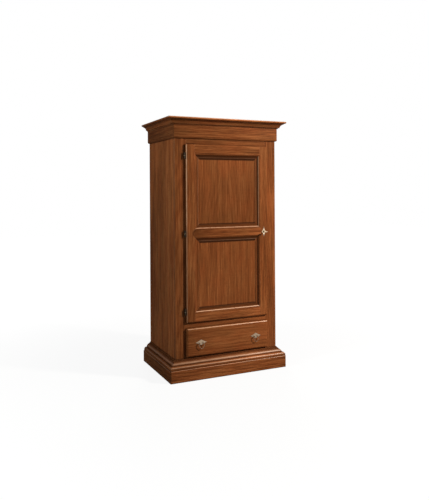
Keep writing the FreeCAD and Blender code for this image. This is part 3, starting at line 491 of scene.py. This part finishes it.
def painted_edge_highlights(graph, patchy, board):
    """Painted highlights on rounded edges: pale colour on edges that face up towards the key light, and on
    edges that face left towards the window, weaker low down.

    Gives how strong the painted highlight is at a place, and how much wax shines there, which only upper
    edges have.
    """
    texture = graph.node("ShaderNodeTexCoord").outputs
    facing = graph.split(texture["Normal"])
    height = graph.split(texture["Object"])["Z"]
    share_x, share_y, share_z = (graph.math("ABSOLUTE", facing[axis]) for axis in "XYZ")
    largest = graph.math("MAXIMUM", graph.math("MAXIMUM", share_x, share_y), share_z)
    rounded = graph.math("SUBTRACT", FLAT_SHARE, largest)
    rounded = graph.math("MULTIPLY", rounded, ROUND_SLOPE, clamp=True)
    uneven = graph.math("MULTIPLY", rounded, graph.math("ADD", patchy, HIGHLIGHT_LEAST, clamp=True))

    # painted highlight on edges that face up, brightest where the normal tilts towards the key light
    off_peak = graph.math("ABSOLUTE", graph.math("SUBTRACT", facing["Z"], UP_PEAK))
    upper = graph.one_minus(graph.math("MULTIPLY", off_peak, UP_SLOPE), clamp=True)
    upper = graph.math("MULTIPLY", upper, board.upper)

    # painted highlight on edges that face left towards the window, weaker lower down
    left = graph.math("MULTIPLY", facing["X"], -LEFT_SLOPE, clamp=True)
    level = graph.one_minus(graph.math("MULTIPLY", share_z, LEVEL_SLOPE), clamp=True)
    by_height = graph.math("MAXIMUM", graph.above(height, HIGHLIGHT_HEIGHT, HIGHLIGHT_HEIGHT_SLOPE), HIGHLIGHT_BELOW)
    for factor in (level, by_height, board.left):
        left = graph.math("MULTIPLY", left, factor)

    painted_highlight = graph.math("MULTIPLY", uneven, graph.math("MAXIMUM", upper, left), clamp=True)
    return painted_highlight, graph.math("MULTIPLY", uneven, upper, clamp=True)


def corner_shade_and_dirt(graph):
    """How dark a corner is made: painted shade, together with old wax and dirt."""
    depth = graph.math("POWER", graph.openness(CORNER_REACH), CORNER_POWER)
    return graph.math("MULTIPLY", graph.one_minus(depth), CORNER_DARK, clamp=True)


PanelFrame = namedtuple("PanelFrame", ("half_width", "low", "high", "outer_glaze"))
SHADE_REACH = 0.050         # from the frame's outer edge to where the panel's face has no painted shade
OUTER_STRIP = 0.20          # the share of that reach which is the frame's outer strip
OUTER_SHADE = {"upper": 0.10, "lower": 0.38}        # how dark the painted shade is on that strip, to the right of each panel

# how dark the painted shade is, at shares of its reach
TOP_SHADE = [
    (0.0, 0.10), (0.22, 0.40), (0.30, 0.82), (0.56, 0.78), (0.70, 0.86), (0.88, 0.90), (0.96, 0.0),
]
BOTTOM_SHADE = [(0.30, 0.0), (0.40, 0.48), (0.62, 0.48), (0.74, 0.90), (0.82, 0.60), (0.90, 0.0)]
RIGHT_SHADE = [(0.27, 0.72), (0.40, 0.72), (0.58, 0.42), (0.66, 0.0)]
LEFT_SHADE = [(0.18, 0.0), (0.30, 0.08), (0.56, 0.0)]


def panel_frame(name):
    """The frame of mouldings that a door panel or its moulding lies in, or None."""
    if not name.startswith(("panel_moulding", "door_panel")):
        return None
    which = name.rsplit("_", 1)[1]
    low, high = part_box("panel_moulding_" + which)
    return PanelFrame(high[0], low[2], high[2], OUTER_SHADE[which])


def painted_moulding_shade(graph, panel):
    """Painted shade in the hollows of a panel's mouldings and just inside: heavy at top and right, which
    face away from the light.
    """
    parts = graph.split(graph.place())
    from_side, from_end = into_frame(graph, parts, panel)
    across = graph.math("DIVIDE", graph.math("MINIMUM", from_side, from_end), SHADE_REACH)
    outer = [(0.0, panel.outer_glaze), (OUTER_STRIP, panel.outer_glaze)]
    all_shades = (TOP_SHADE, BOTTOM_SHADE, outer + RIGHT_SHADE, LEFT_SHADE)
    top, bottom, right, left = (graph.ramp(across, stops) for stops in all_shades)
    middle = (panel.low + panel.high) / 2
    ends = graph.mix(graph.math("GREATER_THAN", parts["Z"], middle), bottom, top)
    sides = graph.mix(graph.math("GREATER_THAN", parts["X"], 0.0), left, right)
    return graph.mix(graph.math("LESS_THAN", from_side, from_end), ends, sides)


def wood_surface(graph, figure, look, colour, wax, shade_and_dirt, soft):
    """Matt wood with its relief, under a coat of wax."""
    smooth, rough = look["roughness"]
    spread = graph.scaled(figure["Tone"], rough - smooth, smooth)
    relief = {
        "Height": figure["Height"],
        "Distance": look["bump"],
        "Strength": GRAIN_RELIEF,
        "Normal": soft,
    }
    shader = graph.node("ShaderNodeBsdfPrincipled", {
        "Base Color": colour,
        "Roughness": graph.scaled(shade_and_dirt, DARKENED_ROUGHNESS, spread),
        "Specular IOR Level": 0.0,
        "Coat Weight": wax,
        "Coat Roughness": WAX_ROUGHNESS,
        "Normal": graph.node("ShaderNodeBump", relief).outputs["Normal"],
    })
    graph.show(shader)


def wood(name, look, grain, seed, board):
    """Wood of one board: its own cut of the figure, worn edges, painted highlights on rounded edges,
    painted shade in corners and hollows with dirt, painted light and shade along it, and wax.
    """
    material, graph = new_material(name)
    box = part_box(name)
    panel = panel_frame(name)
    place = along_grain(graph, grain, panel)
    cut = own_cut(graph, place, seed)
    if board.across:
        across = tones_over(graph, *board.across, box, board.glued)
    if board.glued:
        cut = graph.vector("ADD", cut, graph.vector("MULTIPLY", across, GLUED_SHIFT))
    figure = graph.node("ShaderNodeGroup", {"Vector": cut}, node_tree=GRAIN).outputs
    colour = figured_colour(graph, figure, cut, look, board.figure)

    soft = graph.soft_normal(EDGE_RADIUS)
    patchy = graph.noise(place, WEAR_AND_HIGHLIGHT_CELLS, octaves=3.0)
    colour = worn_edges(graph, colour, soft, patchy, look)
    wax = DULL_WAX if name in DULL else WAX
    if board.upper or board.left:
        # painted highlight on rounded edges that face up or left
        painted_highlight, shining = painted_edge_highlights(graph, patchy, board)
        colour = graph.mix(painted_highlight, colour, look["wear_and_highlight"])
        if board.upper:
            wax = graph.scaled(shining, HIGHLIGHT_WAX, wax)

    # painted shade in corners, together with old dirt
    shade_and_dirt = corner_shade_and_dirt(graph)
    if panel:
        # painted shade in the hollows of the panel mouldings
        shade_and_dirt = graph.math("MAXIMUM", shade_and_dirt, painted_moulding_shade(graph, panel))
        if board.upper:
            wax = graph.math("MULTIPLY", wax, graph.one_minus(shade_and_dirt))
    # the painted shade and dirt darken the colour
    colour = graph.mix(shade_and_dirt, colour, look["shade_and_grime"])
    # painted light and shade along the board, together with its own tone
    if board.tones:
        along = tones_over(graph, grain, board.tones, box)
        colour = graph.tinted(colour, along)
        if board.upper and name not in DULL:
            wax = graph.math("MULTIPLY", wax, along)
    # tones across: painted light and shade on the crown, base and door panels; the glued boards' own tones
    # on the sides
    if board.across:
        colour = graph.tinted(colour, across)
    wood_surface(graph, figure, look, colour, wax, shade_and_dirt, soft)
    return material


# ---- Metal --------------------------------------------------------------------------
# brushed: cells of the brush lines in a metre along each axis, fewest along the lines
Metal = namedtuple("Metal", ("bright", "dull", "roughness", "tarnish", "brushed"))
METAL_LOOKS = {
    "pale_brass": Metal(
        bright=rgb(0.74, 0.56, 0.37), dull=rgb(0.30, 0.21, 0.12),
        roughness=0.30, tarnish=0.35, brushed=(900.0, 900.0, 40.0),
    ),
    "worn_brass": Metal(
        bright=rgb(0.37, 0.27, 0.185), dull=rgb(0.10, 0.062, 0.040),
        roughness=0.40, tarnish=0.7, brushed=(40.0, 900.0, 900.0),
    ),
    "aged_brass": Metal(
        bright=rgb(0.19, 0.122, 0.077), dull=rgb(0.022, 0.012, 0.008),
        roughness=0.34, tarnish=0.6, brushed=(900.0, 900.0, 60.0),
    ),
    "dark_bronze": Metal(
        bright=rgb(0.028, 0.019, 0.013), dull=rgb(0.010, 0.007, 0.005),
        roughness=0.55, tarnish=0.6, brushed=(900.0, 900.0, 60.0),
    ),
    "steel": Metal(
        bright=rgb(0.60, 0.59, 0.57), dull=rgb(0.28, 0.27, 0.26),
        roughness=0.28, tarnish=0.3, brushed=(50.0, 900.0, 900.0),
    ),
}

METAL_NODES = {
    "escutcheon": "plate_brass",
    "key": "pale_brass",
    "hinge_washers": "pale_brass",
    "pull_plates": "worn_brass",
    "pull_posts": "aged_brass",
    "pull_bail_left": "aged_brass",
    "pull_bail_right": "aged_brass",
    "hinge_door_leaves": "dark_bronze",
    "hinge_frame_leaves": "dark_bronze",
    "carcass_screws": "steel",
    "door_screws": "steel",
    "pull_nuts": "steel",
    "lock_case": "steel",
    "lock_bolt": "steel",
    "strike_plate": "steel",
    "hanging_rail": "steel",
    "rail_sockets": "steel",
}

PATCH_CELLS = 210.0
PATCH_START = 0.42          # tarnish lies where the patches' noise is above this
PATCH_SLOPE = 2.2
METAL_CORNER = 0.004        # how far tarnish reaches out of a corner
CORNER_TARNISH = 0.75
METAL_EDGE = 0.0005         # radius that edges are rounded to for shading
TARNISH_ROUGHNESS = 0.30    # added where the metal is all tarnish
LINE_ROUGHNESS = 0.16       # how far brush lines change the roughness
PATCH_RELIEF = 0.6          # against 1 for the brush lines
SCRATCH_DEPTH = 0.00004

HOLE_SHADOW_COLOUR = rgb(0.012, 0.009, 0.006)
HOLE_REACH = 0.0105         # from the keyhole's middle to where the painted shadow ends
HOLE_SLOPE = 3.0


def painted_hole_shadow(graph, colour, place, hole):
    """A colour with a painted shadow round a hole, given by its middle."""
    away = graph.vector("LENGTH", graph.vector("SUBTRACT", place, hole))
    near = graph.one_minus(graph.math("DIVIDE", away, HOLE_REACH), clamp=True)
    return graph.mix(graph.math("MULTIPLY", near, HOLE_SLOPE, clamp=True), colour, HOLE_SHADOW_COLOUR)


def metal(name, look, hole=None):
    """Metal with a drifting polish, tarnish that gathers in corners, fine brush lines, and a painted shadow
    round a hole if one is given.
    """
    material, graph = new_material(name)
    place = graph.place()
    patches = graph.noise(place, PATCH_CELLS, octaves=4.0, roughness=0.6)
    lines = graph.noise(place, look.brushed)
    tarnish = graph.above(patches, PATCH_START, look.tarnish * PATCH_SLOPE)
    closed = graph.one_minus(graph.openness(METAL_CORNER))
    tarnish = graph.scaled(closed, CORNER_TARNISH, tarnish, clamp=True)
    colour = graph.mix(tarnish, look.bright, look.dull)
    if hole:
        # painted shadow round the keyhole
        colour = painted_hole_shadow(graph, colour, place, hole)
    spread = graph.scaled(tarnish, TARNISH_ROUGHNESS, look.roughness)
    spread = graph.scaled(graph.math("SUBTRACT", lines, NOISE_MIDDLE), LINE_ROUGHNESS, spread)
    relief = {
        "Height": graph.scaled(patches, PATCH_RELIEF, lines),
        "Distance": SCRATCH_DEPTH,
        "Normal": graph.soft_normal(METAL_EDGE),
    }
    shader = graph.node("ShaderNodeBsdfPrincipled", {
        "Base Color": colour,
        "Roughness": spread,
        "Metallic": 1.0,
        "Normal": graph.node("ShaderNodeBump", relief).outputs["Normal"],
    })
    graph.show(shader)
    return material


def middle_of(name):
    """The middle of a CAD node's box."""
    low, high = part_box(name)
    return tuple((Vector(low) + Vector(high)) / 2)


METALS = {name: metal(name, look) for name, look in METAL_LOOKS.items()}
# the escutcheon's brass, with a painted shadow round its keyhole
METALS["plate_brass"] = metal("plate_brass", METAL_LOOKS["pale_brass"], middle_of("escutcheon"))


# ---- Dressing the CAD nodes ---------------------------------------------------------
def material_for(name, seed):
    """The material of one CAD node. Nodes of one metal share it; each board has its own."""
    if name in METAL_NODES:
        return METALS[METAL_NODES[name]]
    if name in PLAIN_NODES:
        return wood(name, PLAIN, PLAIN_NODES[name], seed, PLAIN_BOARD)
    if name in THIN_NODES:
        return wood(name, THIN, THIN_NODES[name], seed, PLAIN_BOARD)
    return wood(name, WALNUT, walnut_grain(name), seed, BOARDS.get(name, COMMON_BOARD))


for index, node_name in enumerate(sorted(NODES)):
    dressing = material_for(node_name, index)
    for slot in NODES[node_name].material_slots:
        slot.material = dressing

# ---- Floor, room and lights ---------------------------------------------------------
FLOOR_HALF = 14.0
FLOOR_TONES = [(0.3, 0.72), (0.7, 0.76)]
FLOOR_CELLS = 90.0
FLOOR_ROUGHNESS = 0.9
FLOOR_BOUNCE = rgb(0.26, 0.26, 0.26)        # for the light that it throws back at the cabinet
FADE_REACH = 3.2
FADE = [(0.25, 0.87), (1.0, 1.0)]           # how much of it is plain white, at shares of that reach
GLOW = 1.02                                 # of that white
ROOM_LIGHT = 0.05                           # the room as a light; as a backdrop it is 1

WARM = (1.0, 0.95, 0.87)
COOL = (0.90, 0.98, 1.0)
SOFTBOXES = (               # name, place, what it faces, width and height, watts, colour
    ("key", (3.5, -3.45, 3.3), (0.0, -0.25, 0.9), (0.45, 0.7), 375.0, WARM),
    ("left_window", (-3.4, -0.9, 2.4), (-0.45, 0.0, 1.7), (0.6, 1.9), 76.0, COOL),
    ("behind", (1.6, 4.2, 2.6), (0.0, 0.3, 0.9), (1.6, 1.6), 90.0, WHITE),
)


def make_floor():
    """Pale floor that keeps the shadow and fades to white away from the cabinet."""
    mesh = bpy.data.meshes.new("floor")
    corners = [(x * FLOOR_HALF, y * FLOOR_HALF, 0.0) for x, y in ((-1, -1), (1, -1), (1, 1), (-1, 1))]
    mesh.from_pydata(corners, [], [(0, 1, 2, 3)])
    floor = add_object("floor", mesh)
    material, graph = new_material("pale_floor")
    place = graph.place()
    seen = is_seen(graph)
    tint = graph.ramp(graph.noise(place, FLOOR_CELLS, octaves=3.0), FLOOR_TONES)
    tint = graph.mix(seen, FLOOR_BOUNCE, tint)
    matt = graph.node("ShaderNodeBsdfPrincipled", {"Base Color": tint, "Roughness": FLOOR_ROUGHNESS})
    glow = graph.node("ShaderNodeEmission", {"Color": rgb(*WHITE), "Strength": GLOW})
    far = graph.math("DIVIDE", graph.vector("LENGTH", place), FADE_REACH)
    share = graph.math("MULTIPLY", seen, graph.ramp(far, FADE, "EASE"))
    graph.show(graph.node("ShaderNodeMixShader", {0: share, 1: matt.outputs[0], 2: glow.outputs[0]}))
    mesh.materials.append(material)


def make_world():
    """White room, dimmer as a light than it is as a backdrop."""
    world = bpy.data.worlds.new("studio")
    bpy.context.scene.world = world
    world.use_nodes = True
    world.node_tree.nodes.clear()
    graph = Graph(world.node_tree)
    strength = graph.scaled(is_seen(graph), 1.0 - ROOM_LIGHT, ROOM_LIGHT)
    backdrop = graph.node("ShaderNodeBackground", {"Color": rgb(*WHITE), "Strength": strength})
    graph.node("ShaderNodeOutputWorld", {"Surface": backdrop.outputs[0]})


def softbox(name, place, target, size, watts, colour):
    """A rectangular light, turned towards its target."""
    data = bpy.data.lights.new(name, "AREA")
    data.shape = "RECTANGLE"
    data.size, data.size_y = size
    data.energy = watts
    data.color = colour
    lamp = add_object(name, data)
    lamp.location = place
    way = Vector(target) - Vector(place)
    lamp.rotation_euler = way.to_track_quat("-Z", "Y").to_euler()


make_floor()
make_world()
for settings in SOFTBOXES:
    softbox(*settings)

bpy.context.scene.view_settings.view_transform = "Standard"
